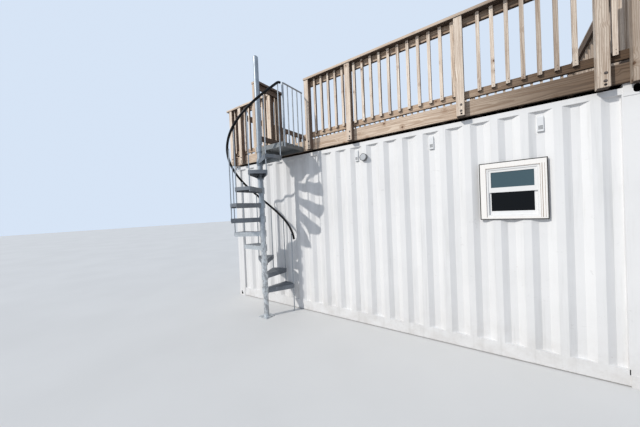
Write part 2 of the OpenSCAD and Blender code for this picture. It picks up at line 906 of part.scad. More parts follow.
module guard_panel() {
    y0 = guard_y0 + post_t;
    y1 = -inner_y;
    n = floor((y1 - y0 - bal_t) / bal_pitch) + 1;
    color(timber) place() {
        block([guard_x - lumber_t, y0, low_rail_z], [guard_x, y1, low_rail_z + rail_t]);
        block([guard_x - lumber_t, y0, guard_z - rail_t], [guard_x, y1, guard_z]);
        for (k = [0 : n - 1])
            translate([guard_x - lumber_t - bal_t, (y0 + y1) / 2 + (k - (n - 1) / 2) * bal_pitch
                - bal_t / 2, low_rail_z - 30])
                cube([bal_t, bal_t, guard_z - low_rail_z + 30]);
    }
}

// The guard's cap is notched round the pole
module guard_cap() {
    color(timber) place() difference() {
        block([guard_x - post_t - guard_cap_out, guard_y0 - guard_cap_out, guard_z],
            [guard_x - post_t - guard_cap_out + cap_w, -inner_y + post_t + cap_out, guard_z + lumber_t]);
        translate([stair_x, stair_cy, guard_z - 1]) cylinder(d = pole_d + 2 * guard_gap, h = lumber_t + 2);
    }
}

// Children at the stair's centre
module at_stair() {
    place() translate([stair_x, stair_cy, 0]) children();
}

module stair_pole() {
    color(galvanised) at_stair() {
        difference() {
            cylinder(d = pole_d, h = pole_top);
            translate([0, 0, base_t]) cylinder(d = pole_d - 2 * pole_t, h = pole_top);
        }
        translate([-base_s / 2, -base_s / 2, 0]) cube([base_s, base_s, base_t]);
    }
}

// Domed plug in the pole's open top
module pole_cap() {
    dome_r = (pole_d * pole_d / 4 + pole_cap_h * pole_cap_h) / (2 * pole_cap_h);
    color(rail_black) at_stair() translate([0, 0, pole_top]) {
        intersection() {
            translate([0, 0, pole_cap_h - dome_r]) sphere(dome_r);
            cylinder(d = pole_d, h = pole_cap_h + 1);
        }
        translate([0, 0, -20]) cylinder(d = pole_d - 2 * pole_t - 2 * fit, h = 21);
    }
}

// Outline of a tread, kept a distance in from its true edges
module tread_shape(less) {
    neck = tread_neck - less;
    far = tread_r + 40;
    w = far * tan(tread_half) - less / cos(tread_half);
    intersection() {
        circle(tread_r - less, $fn = 120);
        polygon([[20, -neck], [20, neck], [far, w], [far, -w]]);
    }
}

// Tread pan with folded edges, its walking surface at height 0
module tread() {
    difference() {
        union() {
            translate([0, 0, -tread_d]) linear_extrude(tread_d) tread_shape(0);
            translate([0, 0, -hub_h + 20]) cylinder(d = hub_d, h = hub_h);
        }
        difference() {
            translate([0, 0, -tread_d - 1]) linear_extrude(tread_d + 1 - tread_t) tread_shape(tread_t);
            translate([0, 0, -hub_h]) cylinder(d = hub_d, h = hub_h + 20);
        }
        translate([0, 0, -hub_h]) cylinder(d = hub_bore, h = 2 * hub_h);
        translate([0, 0, -tread_d - 1]) difference() {
            cylinder(r = tread_r + 1, h = tread_d + 1 - nose_d, $fn = 120);
            translate([0, 0, -1]) cylinder(r = tread_r - tread_t - 1, h = tread_d, $fn = 120);
        }
        for (s = [-1, 1])
            rotate([0, 0, s * tread_turn / 2]) translate([rod_r, 0, -tread_d - 1])
                cylinder(d = rod_d + 2 * fit, h = tread_d + 2);
    }
}

module stair_treads() {
    color(galvanised) at_stair() for (i = [0 : treads - 1])
        translate([0, 0, stair_base + riser * (i + 1)])
            rotate([0, 0, tread_first + i * tread_turn]) tread();
}

// Height of the handrail's middle at an angle, and its slope there
function hand_over(a) = max(0, a - hand_end + hand_bend);
function hand_z(a) = stair_base + riser + hand_h
    + rise_per_degree * (a - tread_first - pow(hand_over(a), 2) / (2 * hand_bend));
function hand_lift(a) = atan(rise_per_degree * (1 - hand_over(a) / hand_bend) * 180 / PI / hand_r);

// One rod between neighbouring treads, from the lower tread up into the handrail
module rod(i) {
    a = first_rod + i * tread_turn;
    z0 = i == 0 ? 0 : stair_base + riser * i - tread_d;
    z1 = hand_z(a) - hand_d / 2 + 2;
    rotate([0, 0, a]) translate([rod_r, 0, z0]) cylinder(d = rod_d, h = z1 - z0);
}

module stair_balusters() {
    color(galvanised) at_stair() for (i = [0 : treads]) rod(i);
}

// Helical tube, one closed skin of rings, the last few of them in its bend
hand_steps = 64;
bend_steps = 4;
hand_sides = 12;
module stair_handrail() {
    a0 = first_rod - hand_on;
    a1 = hand_end - hand_bend;
    angles = concat([for (i = [0 : hand_steps]) a0 + (a1 - a0) * i / hand_steps],
        [for (i = [1 : bend_steps]) a1 + hand_bend * i / bend_steps]);
    last = len(angles) - 1;
    points = [for (a = angles) let (lift = hand_lift(a))
        for (k = [0 : hand_sides - 1]) let (b = 360 * k / hand_sides,
            u = hand_d / 2 * cos(b), v = hand_d / 2 * sin(b))
            [(hand_r + u) * cos(a) + v * sin(lift) * sin(a),
                (hand_r + u) * sin(a) - v * sin(lift) * cos(a),
                hand_z(a) + v * cos(lift)]];
    sides = [for (i = [0 : last - 1]) for (k = [0 : hand_sides - 1])
        let (m = (k + 1) % hand_sides)
        [i * hand_sides + k, i * hand_sides + m, (i + 1) * hand_sides + m, (i + 1) * hand_sides + k]];
    ends = [[for (k = [hand_sides - 1 : -1 : 0]) k],
        [for (k = [0 : hand_sides - 1]) last * hand_sides + k]];
    color(rail_black) at_stair() polyhedron(points, concat(sides, ends), convexity = 6);
}

// Landing from the pole to the rim joist, with folded edges and a gusset
land_y0 = rod_r * sin(last_rod) + rod_d / 2 + fit;
land_y1 = -rim_y - stair_cy;
land_x0 = -pole_d / 2 - guard_gap;
module landing_plate() {
    color(galvanised) at_stair() {
        difference() {
            union() {
                block([land_x0, land_y0, land_z - landing_d], [landing_w, land_y1, land_z]);
                translate([0, 0, land_z - landing_d - 10]) cylinder(d = hub_d, h = landing_d + 10);
            }
            block([-hub_d, -hub_d, land_z - landing_d - 20], [land_x0, hub_d, land_z + 1]);
            block([-hub_d, -hub_d, land_z - landing_d - 20], [-pole_d / 3, pole_d / 3, land_z + 1]);
            difference() {
                block([land_x0 + tread_t, land_y0 + tread_t, land_z - landing_d - 20],
                    [landing_w - tread_t, land_y1 - tread_t, land_z - tread_t]);
                translate([0, 0, land_z - landing_d - 20]) cylinder(d = hub_d, h = landing_d + 20);
            }
            translate([0, 0, land_z - landing_d - 20]) cylinder(d = hub_bore, h = landing_d + 40);
        }
        translate([0, 4, 0]) rotate([90, 0, 0]) linear_extrude(8)
            polygon([[pole_d / 2 + fit, land_z - landing_d], [pole_d / 2 + gusset_w, land_z - landing_d],
                [pole_d / 2 + fit, land_z - landing_d - gusset_h]]);
    }
}

// Guard of uprights and a top bar, standing against the landing's free edge
module landing_guard() {
    x = landing_w + newel_d / 2;
    y0 = guard_bar_d;
    y1 = land_y1 - guard_bar_d;
    top = land_z + landing_guard_h;
    color(galvanised) at_stair() {
        translate([x, y0, land_z - landing_d]) cylinder(d = newel_d, h = top - land_z + landing_d);
        for (i = [1 : guard_rods])
            translate([landing_w + guard_rod_d / 2, y0 + i * (y1 - y0) / guard_rods, land_z - guard_foot])
                cylinder(d = guard_rod_d, h = top - land_z + guard_foot);
        translate([x, y0, top]) rotate([-90, 0, 0]) cylinder(d = guard_bar_d, h = y1 - y0 + guard_bar_d / 2);
    }
}

corner_castings();
corner_posts();
bottom_side_rails();
end_sills();
cross_members();
floor_panel();
top_side_rails();
end_headers();
front_wall();
back_wall();
end_wall();
roof_panel();
door_leaf_front();
door_leaf_back();
lock_bars();
door_hinges();
window_trims();
window_frames();
window_sashes();
window_panes();
wall_vents();
wall_lamp();
rim_joists_long();
rim_joists_end();
deck_joists();
deck_boards();
front_posts();
back_posts();
end_posts();
front_railing_left();
front_railing_right();
back_railing();
end_railing_left();
end_railing_right();
cap_rails_long();
cap_rails_end();
guard_posts();
guard_panel();
guard_cap();
stair_pole();
pole_cap();
stair_treads();
stair_balusters();
stair_handrail();
landing_plate();
landing_guard();
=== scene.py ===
import json
import math
import random

import bmesh
import bpy
from mathutils import Matrix, Vector


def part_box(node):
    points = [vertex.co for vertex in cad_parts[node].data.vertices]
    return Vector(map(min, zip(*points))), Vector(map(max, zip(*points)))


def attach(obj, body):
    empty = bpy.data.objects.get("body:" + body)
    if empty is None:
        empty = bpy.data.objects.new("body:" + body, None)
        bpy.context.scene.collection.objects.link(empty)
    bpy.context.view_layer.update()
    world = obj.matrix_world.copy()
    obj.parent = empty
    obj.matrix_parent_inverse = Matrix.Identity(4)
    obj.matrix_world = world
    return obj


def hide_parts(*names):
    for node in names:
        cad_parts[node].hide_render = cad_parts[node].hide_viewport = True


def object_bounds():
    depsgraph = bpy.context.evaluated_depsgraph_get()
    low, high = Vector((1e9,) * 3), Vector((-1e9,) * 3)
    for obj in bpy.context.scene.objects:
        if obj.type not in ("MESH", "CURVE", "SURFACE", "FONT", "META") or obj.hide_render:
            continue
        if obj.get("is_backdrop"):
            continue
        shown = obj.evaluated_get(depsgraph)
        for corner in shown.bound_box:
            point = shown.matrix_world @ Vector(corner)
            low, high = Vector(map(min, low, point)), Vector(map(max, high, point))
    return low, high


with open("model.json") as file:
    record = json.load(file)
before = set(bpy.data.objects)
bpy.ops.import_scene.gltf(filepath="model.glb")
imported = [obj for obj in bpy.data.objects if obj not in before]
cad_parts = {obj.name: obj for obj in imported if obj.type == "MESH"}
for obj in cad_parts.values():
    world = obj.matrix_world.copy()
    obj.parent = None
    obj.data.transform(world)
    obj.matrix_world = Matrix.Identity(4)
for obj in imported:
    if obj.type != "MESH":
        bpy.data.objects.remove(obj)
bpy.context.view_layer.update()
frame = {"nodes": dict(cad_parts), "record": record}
nodes = frame["nodes"]
rng = random.Random(5)

# Lengths are in metres. X runs along the container to its cargo doors, the
# stair and the lamp are on the side that faces -Y, and Z is up.

# Camera, fitted to the photograph: place, lens and sensor in mm, turns in degrees
CAMERA_PLACE = (1.8737, -4.3885, 1.819)
CAMERA_LENS = 14.408
CAMERA_SENSOR = 36.0
CAMERA_YAW = -35.197
CAMERA_PITCH = -0.606
CAMERA_ROLL = -2.414

# Sun, sky and floor. The seen colours are those that the camera sees.
SUN_RAYS = (0.56, 1.0, -0.71)
SUN_STRENGTH = 2.4
SUN_SPREAD = 1.0
SUN_COLOUR = (1.0, 0.965, 0.91)
SKY_LIGHT_STRENGTH = 0.66
SKY_LIGHT_COLOUR = (0.75, 0.85, 1.0)
SKY_SEEN_COLOUR = (0.68, 0.78, 0.92)
FLOOR_SIZE = 120
FLOOR_DROP = 0.0005
FLOOR_SEEN_PALE = (0.70, 0.695, 0.685)
FLOOR_SEEN_DEEP = (0.67, 0.665, 0.655)
FLOOR_BOUNCE_COLOUR = (0.42, 0.40, 0.38)

# Tones of the boards of each timber node, from 0, brown, to 1, pale
BOARD_TONES = {
    "rim_joists_long": (0.05, 0.4),
    "rim_joists_end": (0.05, 0.4),
    "deck_joists": (0.0, 0.5),
    "deck_boards": (0.1, 0.6),
    "front_posts": (0.75, 1.0),
    "back_posts": (0.3, 0.9),
    "end_posts": (0.3, 0.9),
    "cap_rails_long": (0.3, 0.7),
    "cap_rails_end": (0.3, 0.7),
    "guard_posts": (0.35, 0.9),
    "guard_cap": (0.3, 0.6),
}
BALUSTER_TONES = (0.75, 1.0)
RAIL_TONES = (0.0, 0.3)

# Each railing: the axis that it runs along, and the side of its balusters
RAILINGS = {
    "front_railing_left": (0, -1),
    "front_railing_right": (0, -1),
    "back_railing": (0, 1),
    "end_railing_left": (1, -1),
    "end_railing_right": (1, 1),
    "guard_panel": (1, -1),
}

# Bevels of the timber's edges, and the X beyond which front posts keep their full length
BOARD_EDGE = 0.003
RAILING_EDGE = 0.002
LONG_POSTS_X = 2.0

# Grain: the span of its starts along the boards, the pith's distance from a
# board's middle, its shift sideways and its lean per metre, and how much wider
# than thick a board is when the pith lies behind its wide face
GRAIN_SPAN = 40
PITH_DISTANCE = (0.02, 0.11)
PITH_SHIFT = 0.04
PITH_LEAN = 0.016
WIDE_BOARD = 1.8

# Baluster screws: heights above the foot and below the top
SCREW_RADIUS = 0.0042
SCREW_HEIGHT = 0.0012
SCREW_SCATTER = 0.005
SCREWS_ABOVE_FOOT = (0.018, 0.052)
SCREWS_BELOW_TOP = (0.03, 0.06)

# Bolts, and near black discs painted as the shade of blind holes, with their heights above the foot of
# a post
WASHER_RADIUS = 0.0145
WASHER_HEIGHT = 0.0022
HEAD_RADIUS = 0.0095
HEAD_HEIGHT = 0.0065
HOLE_RADIUS = 0.0115
HOLE_HEIGHT = 0.0006
POST_HOLE_AT = 0.024
POST_BOLTS_AT = (0.058, 0.131)
POST_BOLT_SHIFT = 0.012
POST_BOLT_SCATTER = 0.005
END_BOLTS_AT = (0.038, 0.078)
END_BOLT_SHIFT = 0.01

# Dark bead round the window trim
BEAD_WIDTH = 0.011
BEAD_PROUD = 0.016
BEAD_SUNK = 0.004
BEAD_EDGE = 0.002

# Cracks of the window trim and its joints with the window. Each crack has its
# distance from the right edge and its width, and the joint above the window
# lies between two distances from the top.
CRACK_PROUD = 0.0006
CRACK_SUNK = 0.002
CRACK_ABOVE_FOOT = 0.012
CRACK_BELOW_TOP = 0.05
TRIM_CRACKS = ((0.018, 0.0025), (0.040, 0.0045))
SIDE_JOINT_AT = 0.0565
SIDE_JOINT_WIDTH = 0.0022
TOP_JOINT_INSET = 0.055
TOP_JOINT_BETWEEN = (0.0565, 0.0542)

# Dark strips on the wall vents, painted as the shade inside their slots
SLOT_COUNT = 4
SLOT_FIRST = 0.022
SLOT_PITCH = 0.011
SLOT_HEIGHT = 0.0065
SLOT_LEFT_INSET = 0.009
SLOT_RIGHT_INSET = 0.006
SLOT_PROUD = 0.0006
SLOT_SUNK = 0.001

# Wall lamp: a drum with a recessed lens
LAMP_RADIUS = 0.056
LAMP_DEPTH = 0.046
LAMP_RIM = 0.005
LAMP_RECESS = 0.007
LAMP_AXIS = (-0.08, -1.0, 0.03)
LAMP_FOOT_SHIFT = (0.002, 0.0, 0.034)
LENS_SEAT = 0.0068
LENS_GAP = 0.0006
LENS_THICK = 0.0045
LENS_DOME_HEIGHT = 0.0015
LENS_DOME_SHARE = 0.9

# Rubber of the cargo doors
GASKET_WIDTH = 0.0055
GASKET_DEPTH = 0.035
GASKET_PROUD = 0.0015

# Stair zinc: the hubs' radius, and the reach and bearings in degrees of the tread edges that are
# painted paler, as painted sunlight. The normal of an upright face has a small Z.
HUB_RADIUS = 0.0582
TREAD_EDGE_REACH = 0.5
SUNLIT_BEARINGS = (255, 310)
UPRIGHT_NORMAL_Z = 0.3

# Points nearer than this to a plane lie on it, and casting faces deeper than
# this are inside
ON_PLANE = 0.001
CASTING_SKIN = 0.002

# Colour sockets of a Mix node
MIX_FACTOR = 0
MIX_A = 6
MIX_B = 7
MIX_RESULT = 2

BOX_QUADS = ((0, 1, 3, 2), (4, 6, 7, 5), (0, 4, 5, 1), (2, 3, 7, 6), (0, 2, 6, 4), (1, 5, 7, 3))


# Shader kit


def new_material(name):
    """A material, its node tree and its Principled shader."""
    mat = bpy.data.materials.new(name)
    mat.use_nodes = True
    return mat, mat.node_tree, mat.node_tree.nodes["Principled BSDF"]


def put(socket, value):
    """Links a socket to another one, or sets a plain value."""
    if isinstance(value, bpy.types.NodeSocket):
        socket.id_data.links.new(value, socket)
    else:
        socket.default_value = value


def node(tree, kind, inputs=(), **props):
    """A shader node with its properties and inputs set."""
    made = tree.nodes.new("ShaderNode" + kind)
    for key, value in props.items():
        setattr(made, key, value)
    for key, value in dict(inputs).items():
        put(made.inputs[key], value)
    return made


def math_node(tree, op, a, b=0.0, clamp=False):
    return node(tree, "Math", {0: a, 1: b}, operation=op, use_clamp=clamp).outputs[0]


def times(tree, a, b):
    return math_node(tree, "MULTIPLY", a, b)


def plus(tree, a, b, clamp=False):
    return math_node(tree, "ADD", a, b, clamp)


def minus(tree, a, b):
    return math_node(tree, "SUBTRACT", a, b)


def vector_math(tree, op, a, b=(0.0, 0.0, 0.0), output="Vector"):
    return node(tree, "VectorMath", {0: a, 1: b}, operation=op).outputs[output]


def scaled(tree, vector, factors):
    return vector_math(tree, "MULTIPLY", vector, factors)


def band(tree, value, low, high, a=0.0, b=1.0):
    """A smooth step of value from low to high, running from a to b."""
    sockets = {"Value": value, "From Min": low, "From Max": high, "To Min": a, "To Max": b}
    return node(tree, "MapRange", sockets, interpolation_type="SMOOTHSTEP").outputs["Result"]


def mix(tree, amount, a, b):
    """Colour a, turned into colour b by amount."""
    made = node(tree, "Mix", data_type="RGBA", clamp_factor=True)
    put(made.inputs[MIX_FACTOR], amount)
    for spot, colour in ((MIX_A, a), (MIX_B, b)):
        put(made.inputs[spot], colour if isinstance(colour, bpy.types.NodeSocket) else (*colour, 1))
    return made.outputs[MIX_RESULT]


def noise(tree, vector, scale, detail=3.0, rough=0.5, distortion=0.0, output="Fac"):
    """Fractal noise, with one scale or with one for each axis."""
    if isinstance(scale, tuple):
        vector = scaled(tree, vector, scale)
        scale = 1.0
    sockets = {
        "Vector": vector,
        "Scale": scale,
        "Detail": detail,
        "Roughness": rough,
        "Distortion": distortion,
    }
    return node(tree, "TexNoise", sockets).outputs[output]


def bump(tree, height, strength, distance, under=None):
    """A normal with relief, on top of the one given as under."""
    made = node(tree, "Bump", {"Height": height, "Strength": strength, "Distance": distance})
    if under is not None:
        put(made.inputs["Normal"], under)
    return made.outputs["Normal"]


def position(tree):
    return node(tree, "NewGeometry").outputs["Position"]


def split(tree, vector):
    """Outputs X, Y and Z of a vector or colour."""
    return node(tree, "SeparateXYZ", {0: vector}).outputs


def scaled_colour(colour, share):
    """A colour whose channels are multiplied by share."""
    return tuple(channel * share for channel in colour)


# Materials


def paint_material(name, colour, rust, dirt):
    """Satin container paint with streaks, scuffs, flecks of rust, and grime along its foot."""
    streak_grey = (0.62, 0.62, 0.61)
    scuff_grey = (0.52, 0.51, 0.50)
    grime_brown = (0.36, 0.31, 0.26)
    rust_brown = (0.30, 0.15, 0.08)
    grime_top = 0.55
    mat, tree, bsdf = new_material(name)
    place = position(tree)
    broad = noise(tree, place, 1.1, detail=4, rough=0.55)
    streak = noise(tree, place, (16, 16, 0.9), detail=4, rough=0.6)
    scuff = noise(tree, place, (7, 7, 11), detail=7, rough=0.7, distortion=1.2)
    scuff = times(tree, band(tree, scuff, 0.62, 0.72), 0.32)
    fleck = band(tree, noise(tree, place, 42, detail=5, rough=0.7), 0.665, 0.72)
    rusty = band(tree, noise(tree, place, 1.7, detail=3, rough=0.6), 0.5, 0.7)
    fleck = times(tree, times(tree, fleck, rusty), rust)
    low = band(tree, split(tree, place)["Z"], grime_top, 0.0)
    grime = band(tree, noise(tree, place, 5, detail=6, rough=0.7), 0.3, 0.75, 0, dirt)
    base = mix(tree, band(tree, broad, 0.35, 0.7), colour, scaled_colour(colour, 0.93))
    base = mix(tree, band(tree, streak, 0.5, 0.8, 0, 0.5), base, streak_grey)
    base = mix(tree, scuff, base, scuff_grey)
    base = mix(tree, times(tree, low, grime), base, grime_brown)
    base = mix(tree, fleck, base, rust_brown)
    put(bsdf.inputs["Base Color"], base)
    put(bsdf.inputs["Roughness"], band(tree, broad, 0.2, 0.8, 0.36, 0.52))
    dent = noise(tree, place, 2.2, detail=2, rough=0.4)
    dent = bump(tree, dent, strength=0.25, distance=0.012)
    peel = noise(tree, place, 120, detail=3, rough=0.6)
    peel = bump(tree, peel, strength=0.06, distance=0.001, under=dent)
    put(bsdf.inputs["Normal"], peel)
    return mat


def wood_figure(tree, grain):
    """Shares of late wood, of knots and of the halos round them, and how near the knot's centre is.

    The growth rings go round the pith, where the grain's Y and Z are 0, and bend round the knots.
    """
    knot_cells_per_metre = 7.5
    cells_without_knot = 0.75
    rings_per_metre = 78.0
    ring_spread = 0.022
    warp = noise(tree, grain, (1.4, 7, 7), output="Color")
    warp = vector_math(tree, "SUBTRACT", warp, (0.5, 0.5, 0.5))
    bent = vector_math(tree, "ADD", scaled(tree, warp, (0, 0.05, 0.05)), grain)
    cell_sockets = {"Vector": grain, "Scale": knot_cells_per_metre, "Randomness": 0.85}
    cell = node(tree, "TexVoronoi", cell_sockets)
    near = cell.outputs["Distance"]
    lot = split(tree, cell.outputs["Color"])["X"]
    has_knot = band(tree, lot, cells_without_knot - 0.01, cells_without_knot + 0.01)
    knot = times(tree, has_knot, band(tree, near, 0.13, 0.085))
    halo = times(tree, has_knot, band(tree, near, 0.42, 0.06))
    radius = vector_math(tree, "LENGTH", scaled(tree, bent, (0, 1, 1)), output="Value")
    radius = plus(tree, radius, times(tree, halo, ring_spread))
    ring = math_node(tree, "FRACT", times(tree, radius, rings_per_metre))
    # Each ring darkens outwards and ends sharply, and is fainter in places
    late = times(tree, band(tree, ring, 0.35, 0.93), band(tree, ring, 1.0, 0.95))
    faded = noise(tree, grain, (1.1, 9, 9), detail=3, rough=0.6)
    late = times(tree, late, band(tree, faded, 0.3, 0.7, 0.45, 1.0))
    return late, knot, halo, near


def weathered_and_painted_shade(tree, base, late, tone):
    """Timber as the weather has left it on its several sides, with painted shade on the faces turned to
    the cargo doors and on the undersides.
    """
    worn_early = (0.115, 0.072, 0.043)
    worn_late = (0.045, 0.027, 0.018)
    shade_brown_early = (0.105, 0.065, 0.046)
    shade_brown_late = (0.045, 0.027, 0.019)
    top_grey = (0.46, 0.425, 0.385)
    underside_shade_brown = (0.045, 0.029, 0.021)
    worn_from = 0.95
    worn_full = 2.6
    place = position(tree)
    normal = split(tree, node(tree, "NewGeometry").outputs["True Normal"])
    # Timber near the cargo doors is darkest, apart from the pale boards
    kept = times(tree, times(tree, tone, tone), 0.85)
    worn = band(tree, split(tree, place)["X"], worn_from, worn_full)
    worn = times(tree, worn, minus(tree, 1.0, kept))
    base = mix(tree, worn, base, mix(tree, late, worn_early, worn_late))
    # Faces turned to the cargo doors are painted dark brown, as painted shade
    painted_shade_to_doors = band(tree, normal["X"], 0.4, 0.9, 0, 0.9)
    base = mix(tree, painted_shade_to_doors, base, mix(tree, late, shade_brown_early, shade_brown_late))
    # Upper faces are grey
    grey = band(tree, noise(tree, place, 3, detail=4, rough=0.6), 0.2, 0.8, 0.35, 0.8)
    base = mix(tree, times(tree, band(tree, normal["Z"], 0.5, 0.9), grey), base, top_grey)
    # Undersides are painted dark brown, as painted shade
    return mix(tree, band(tree, normal["Z"], -0.5, -0.9, 0, 0.95), base, underside_shade_brown)


def timber_material(name):
    """Treated pine, from the attributes grain, in metres along each board, and tone."""
    early_brown = (0.60, 0.455, 0.33)
    early_pale = (1.0, 0.885, 0.755)
    late_brown = (0.36, 0.22, 0.13)
    streak_brown = (0.36, 0.24, 0.165)
    blotch_brown = (0.46, 0.35, 0.28)
    speck_brown = (0.36, 0.24, 0.16)
    halo_brown = (0.30, 0.175, 0.10)
    knot_heart = (0.20, 0.105, 0.06)
    knot_edge = (0.09, 0.048, 0.03)
    crack_dark = (0.10, 0.07, 0.05)
    mat, tree, bsdf = new_material(name)
    grain = node(tree, "Attribute", attribute_name="grain").outputs["Vector"]
    tone = node(tree, "Attribute", attribute_name="tone").outputs["Fac"]
    late, knot, halo, near = wood_figure(tree, grain)
    streak = noise(tree, grain, (1.6, 48, 48), detail=5, rough=0.6)
    fibre = noise(tree, grain, (9, 420, 420), detail=3, rough=0.6)
    blotch = noise(tree, grain, (1.3, 4, 4), detail=4, rough=0.6)
    speck = noise(tree, grain, (24, 85, 85), detail=5, rough=0.7)
    crack = noise(tree, grain, (1.1, 70, 70), detail=2, rough=0.4, distortion=0.3)
    crack = band(tree, crack, 0.70, 0.74)
    early = mix(tree, tone, early_brown, early_pale)
    depth = minus(tree, 0.85, times(tree, tone, 0.3))
    base = mix(tree, times(tree, late, depth), early, late_brown)
    base = mix(tree, band(tree, streak, 0.42, 0.74, 0, 0.75), base, streak_brown)
    base = mix(tree, band(tree, blotch, 0.45, 0.8, 0, 0.45), base, blotch_brown)
    base = mix(tree, band(tree, speck, 0.52, 0.74, 0, 0.5), base, speck_brown)
    base = mix(tree, times(tree, halo, 0.55), base, halo_brown)
    base = mix(tree, knot, base, mix(tree, band(tree, near, 0.03, 0.12), knot_heart, knot_edge))
    base = weathered_and_painted_shade(tree, base, late, tone)
    base = mix(tree, times(tree, crack, 0.7), base, crack_dark)
    put(bsdf.inputs["Base Color"], base)
    put(bsdf.inputs["Roughness"], band(tree, streak, 0.2, 0.8, 0.62, 0.86))
    bsdf.inputs["Specular IOR Level"].default_value = 0.3
    relief = minus(tree, times(tree, fibre, 0.5), times(tree, late, 0.35))
    relief = minus(tree, relief, times(tree, crack, 1.5))
    put(bsdf.inputs["Normal"], bump(tree, relief, strength=0.5, distance=0.0012))
    return mat


def galvanised_material(name, colour, dull, foot=None):
    """Hot dip zinc: crystals, pale runs and dull patches. A foot colour is that of the lowest metre."""
    run_grey = (0.60, 0.62, 0.63)
    crystals_per_metre = 75.0
    foot_from = 2.0
    foot_full = 0.9
    mat, tree, bsdf = new_material(name)
    place = position(tree)
    crystal_sockets = {"Vector": place, "Scale": crystals_per_metre, "Randomness": 1.0}
    crystal = node(tree, "TexVoronoi", crystal_sockets)
    shade = split(tree, crystal.outputs["Color"])["X"]
    cloud = noise(tree, place, 6, detail=5, rough=0.65)
    run = noise(tree, place, (30, 30, 3), detail=4, rough=0.6)
    base = mix(tree, band(tree, shade, 0, 1, 0, 0.55), colour, scaled_colour(colour, 1.35))
    base = mix(tree, band(tree, cloud, 0.4, 0.75, 0, 0.6), base, scaled_colour(colour, 0.72))
    base = mix(tree, band(tree, run, 0.6, 0.85, 0, 0.5), base, run_grey)
    if foot:
        patch = band(tree, noise(tree, place, (24, 24, 16), detail=3, rough=0.6), 0.4, 0.62)
        mottled = mix(tree, patch, foot, scaled_colour(foot, 0.58))
        base = mix(tree, band(tree, split(tree, place)["Z"], foot_from, foot_full), base, mottled)
    put(bsdf.inputs["Base Color"], base)
    bsdf.inputs["Metallic"].default_value = 0.55
    uneven = plus(tree, cloud, times(tree, shade, 0.25))
    put(bsdf.inputs["Roughness"], band(tree, uneven, 0.3, 1.0, dull - 0.1, dull + 0.15))
    put(bsdf.inputs["Normal"], bump(tree, cloud, strength=0.12, distance=0.004))
    return mat


def plain_material(name, colour, rough, mottle, mottle_scale, bumpy, metal=0.0, gloss=0.5):
    """Moulded or painted piece: fine mottle in colour, roughness and relief."""
    mat, tree, bsdf = new_material(name)
    place = position(tree)
    fine = noise(tree, place, mottle_scale, detail=4, rough=0.6)
    broad = noise(tree, place, 4, detail=4, rough=0.6)
    base = mix(tree, band(tree, broad, 0.35, 0.75), colour, scaled_colour(colour, 1 - mottle))
    base = mix(tree, band(tree, fine, 0.62, 0.8, 0, 0.5), base, scaled_colour(colour, 1 - 2.2 * mottle))
    put(bsdf.inputs["Base Color"], base)
    put(bsdf.inputs["Roughness"], band(tree, fine, 0.2, 0.8, rough - 0.05, rough + 0.08))
    bsdf.inputs["Metallic"].default_value = metal
    bsdf.inputs["Specular IOR Level"].default_value = gloss
    put(bsdf.inputs["Normal"], bump(tree, fine, strength=bumpy, distance=0.001))
    return mat


def trim_material(name):
    """Cream painted board with streaks along its grain and worn spots."""
    cream = (0.93, 0.905, 0.87)
    streak_cream = (0.84, 0.79, 0.74)
    bare_wood = (0.60, 0.50, 0.40)
    mat, tree, bsdf = new_material(name)
    place = position(tree)
    streak = noise(tree, place, (90, 90, 4), detail=4, rough=0.6)
    worn = band(tree, noise(tree, place, (40, 40, 9), detail=6, rough=0.7), 0.60, 0.70)
    base = mix(tree, band(tree, streak, 0.4, 0.8, 0, 0.5), cream, streak_cream)
    base = mix(tree, times(tree, worn, 0.25), base, bare_wood)
    put(bsdf.inputs["Base Color"], base)
    put(bsdf.inputs["Roughness"], band(tree, streak, 0.2, 0.8, 0.45, 0.62))
    put(bsdf.inputs["Normal"], bump(tree, streak, strength=0.2, distance=0.001))
    return mat


def ply_material(name):
    """Worn plywood floor, its grain along the container."""
    ply_pale = (0.38, 0.24, 0.14)
    ply_dark = (0.22, 0.13, 0.075)
    worn_pale = (0.42, 0.34, 0.26)
    mat, tree, bsdf = new_material(name)
    place = position(tree)
    streak = noise(tree, place, (1.5, 38, 38), detail=5, rough=0.6)
    wear = noise(tree, place, 2.4, detail=5, rough=0.65)
    base = mix(tree, band(tree, streak, 0.3, 0.75), ply_pale, ply_dark)
    base = mix(tree, band(tree, wear, 0.45, 0.75, 0, 0.5), base, worn_pale)
    put(bsdf.inputs["Base Color"], base)
    put(bsdf.inputs["Roughness"], band(tree, streak, 0.2, 0.8, 0.5, 0.7))
    put(bsdf.inputs["Normal"], bump(tree, streak, strength=0.3, distance=0.001))
    return mat


def glass_material(name, meeting_z):
    """Tinted glass, near black below the meeting rail."""
    upper_tint = (0.086, 0.152, 0.182)
    lower_tint = (0.001, 0.0016, 0.0022)
    smear_grey = (0.12, 0.15, 0.16)
    blend = 0.01
    mat, tree, bsdf = new_material(name)
    place = position(tree)
    lower = band(tree, split(tree, place)["Z"], meeting_z + blend, meeting_z - blend)
    smear = noise(tree, place, (6, 6, 3), detail=4, rough=0.6)
    base = mix(tree, lower, upper_tint, lower_tint)
    faint = times(tree, band(tree, smear, 0.55, 0.8, 0, 0.25), minus(tree, 1.0, lower))
    base = mix(tree, faint, base, smear_grey)
    put(bsdf.inputs["Base Color"], base)
    put(bsdf.inputs["Roughness"], band(tree, smear, 0.4, 0.9, 0.02, 0.10))
    bsdf.inputs["Transmission Weight"].default_value = 0.35
    bsdf.inputs["IOR"].default_value = 1.4
    put(bsdf.inputs["Specular IOR Level"], band(tree, lower, 0, 1, 0.5, 0.2))
    return mat


# Mesh kit


